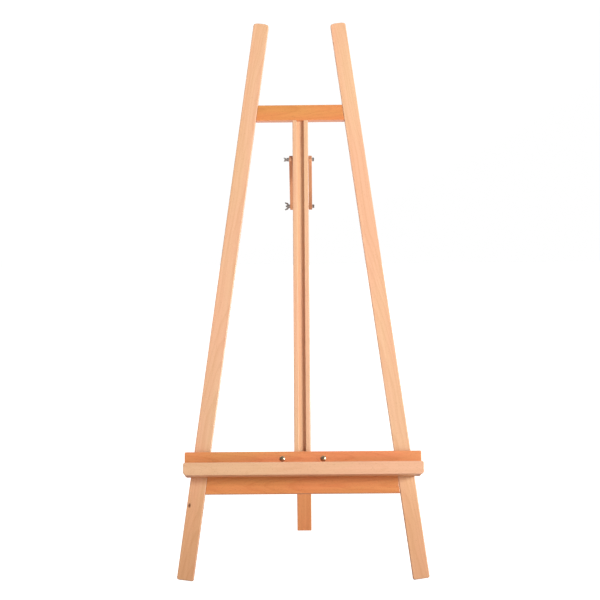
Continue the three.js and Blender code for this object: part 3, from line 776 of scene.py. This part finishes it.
def dowel(name, radius, length, middle, axis, body):
    """A fluted dowel with chamfered ends."""
    flutes, half, chamfer = 16, length / 2, 1 * MM
    made = bmesh.new()
    rows = []
    for share, height in ((0.8, half), (1, half - chamfer), (1, chamfer - half), (0.8, -half)):
        row = []
        for k in range(flutes * 4):
            groove = 0.06 * radius if k % 4 == 0 else 0
            turn = math.tau * k / (flutes * 4)
            size = radius * share - groove
            row.append(made.verts.new((size * math.cos(turn), size * math.sin(turn), height)))
        rows.append(row)
    for upper, lower in zip(rows, rows[1:]):
        for k in range(len(upper)):
            following = (k + 1) % len(upper)
            made.faces.new((upper[k], lower[k], lower[following], upper[following]))
    made.faces.new(rows[0])
    made.faces.new(rows[-1][::-1])
    bmesh.ops.recalc_face_normals(made, faces=made.faces)
    side = UP if abs(axis.dot(UP)) < 0.9 else ACROSS
    obj = piece("look_" + name, made, along(middle, axis, side), DOWEL_WOOD)
    return belongs(shade(obj), body, "pale_wood")


def dowels():
    for node in frame["nodes"]:
        if "rail_dowel" in node:
            dowel(node, 4 * MM, 44 * MM, place_of(node), ACROSS, "front_frame")
        elif node.startswith("mast_dowel"):
            dowel(node, 4 * MM, 44 * MM, place_of(node), UP, "front_frame")
        elif node.startswith("lip_dowel"):
            dowel(node, 3 * MM, 20 * MM, place_of(node), BACK, "tray")


# ---------------------------------------------------------------- studio


def studio():
    """A pale floor that runs out of sight and glows, white surroundings and one large soft light."""
    made, graph, shader = surface("floor", Roughness=0.9, Emission_Color=(1, 1, 1, 1))
    seen = graph.node("ShaderNodeLightPath").outputs["Is Camera Ray"]
    place = graph.node("ShaderNodeTexCoord").outputs["Object"]
    # The camera sees the floor as an even white glow over a grey base colour. For bounced light the glow is
    # a painted fill light with a painted shadow: none within about 0.8 m of the easel, full from about 1.7
    # m.
    away = graph.math("DIVIDE", graph.vector("LENGTH", place, (0, 0, 0)), FLOOR_REACH, clamp=True)
    glow = graph.math("MULTIPLY", graph.ramp(away, (0.38, 0), (0.85, 1)), FLOOR_GLOW)
    glow = graph.math("MAXIMUM", glow, seen)
    graph.tree.links.new(glow, shader.inputs["Emission Strength"])
    tone = graph.mix(graph.noise(place, scale=3, detail=4), (0.42, 0.40, 0.39, 1), (0.46, 0.44, 0.43, 1))
    graph.tree.links.new(tone, shader.inputs["Base Color"])
    sheet = bmesh.new()
    corners = ((-1, -1), (1, -1), (1, 1), (-1, 1))
    sheet.faces.new([sheet.verts.new((x * FLOOR_HALF, y * FLOOR_HALF, 0)) for x, y in corners])
    piece("floor", sheet, Matrix.Identity(4), made)

    world = bpy.data.worlds.new("studio")
    world.use_nodes = True
    bpy.context.scene.world = world
    sky = Graph(world.node_tree)
    way = sky.node("ShaderNodeTexCoord").outputs["Generated"]
    toward = sky.node("ShaderNodeVectorMath", {0: way, 1: BRIGHT_SIDE}, operation="DOT_PRODUCT")
    side = sky.math("ADD", sky.math("MULTIPLY", toward.outputs["Value"], 0.5), 0.5, clamp=True)
    side = sky.math("POWER", side, FILL_FOCUS)
    fill = sky.math("ADD", FILL_DARK, sky.math("MULTIPLY", side, FILL_BRIGHT - FILL_DARK))
    behind = sky.node("ShaderNodeVectorMath", {0: way, 1: BACK_SIDE}, operation="DOT_PRODUCT")
    behind = sky.math("MULTIPLY", sky.math("MAXIMUM", behind.outputs["Value"], 0.0), FILL_BACK)
    fill = sky.math("ADD", fill, behind)
    seen = sky.node("ShaderNodeLightPath").outputs["Is Camera Ray"]
    strength = sky.math("MAXIMUM", fill, seen)
    background = world.node_tree.nodes["Background"]
    bounced = sky.node("ShaderNodeLightPath").outputs["Is Diffuse Ray"]
    world.node_tree.links.new(sky.mix(bounced, (1, 1, 1, 1), FILL_COLOUR), background.inputs["Color"])
    world.node_tree.links.new(strength, background.inputs["Strength"])

    light = bpy.data.lights.new("key", "AREA")
    light.shape = "DISK"
    light.size = KEY_SIZE
    light.energy = KEY_POWER
    light.color = KEY_COLOUR
    lamp = bpy.data.objects.new("key", light)
    bpy.context.scene.collection.objects.link(lamp)
    level = math.cos(KEY_HEIGHT)
    way = Vector((math.sin(KEY_AZIMUTH) * level, -math.cos(KEY_AZIMUTH) * level, math.sin(KEY_HEIGHT)))
    lamp.matrix_world = along(KEY_TARGET + way * KEY_DISTANCE, way, ACROSS)


FILL_DARK = 0.05
FILL_BRIGHT = 0.56
FILL_BACK = 1.1
FILL_FOCUS = 4
FILL_COLOUR = (1.0, 0.56, 0.42, 1)
BRIGHT_SIDE = Vector((0.8, -0.25, 0.4)).normalized()
BACK_SIDE = Vector((-0.2, 0.8, 0.45)).normalized()
FLOOR_HALF = 60
FLOOR_REACH = 2
FLOOR_GLOW = 0.9
KEY_COLOUR = (0.94, 1, 1)
KEY_TARGET = Vector((0, 0, 0.7))
KEY_SIZE = 1.8
KEY_DISTANCE = 6
KEY_POWER = 318
KEY_AZIMUTH = math.radians(45)
KEY_HEIGHT = math.radians(14)

# ---------------------------------------------------------------- camera

CAMERA_RIGHT = 0.0291
CAMERA_BEFORE = 3.803
CAMERA_ABOVE = 0.8834
CAMERA_YAW = math.radians(0.471)
CAMERA_PITCH = math.radians(2.175)
CAMERA_ROLL = math.radians(0.505)
CAMERA_LENS = 87.05


def camera():
    """The camera stands in front of the feet, a little to the right, and looks slightly down."""
    lens = bpy.data.cameras.new("camera")
    lens.lens = CAMERA_LENS
    lens.sensor_width = 36
    lens.clip_end = 200
    obj = bpy.data.objects.new("camera", lens)
    bpy.context.scene.collection.objects.link(obj)
    foot = FRONT.translation
    spot = foot + Vector((CAMERA_RIGHT, -CAMERA_BEFORE, CAMERA_ABOVE))
    aim = Matrix.Rotation(CAMERA_YAW, 4, "Z") @ Matrix.Rotation(math.radians(90) - CAMERA_PITCH, 4, "X")
    obj.matrix_world = Matrix.Translation(spot) @ aim @ Matrix.Rotation(-CAMERA_ROLL, 4, "Z")
    bpy.context.scene.camera = obj


camera()
front_frame()
tray()
arms()
rear_leg()
hardware()
dowels()
studio()
bpy.context.scene.view_settings.view_transform = "Standard"
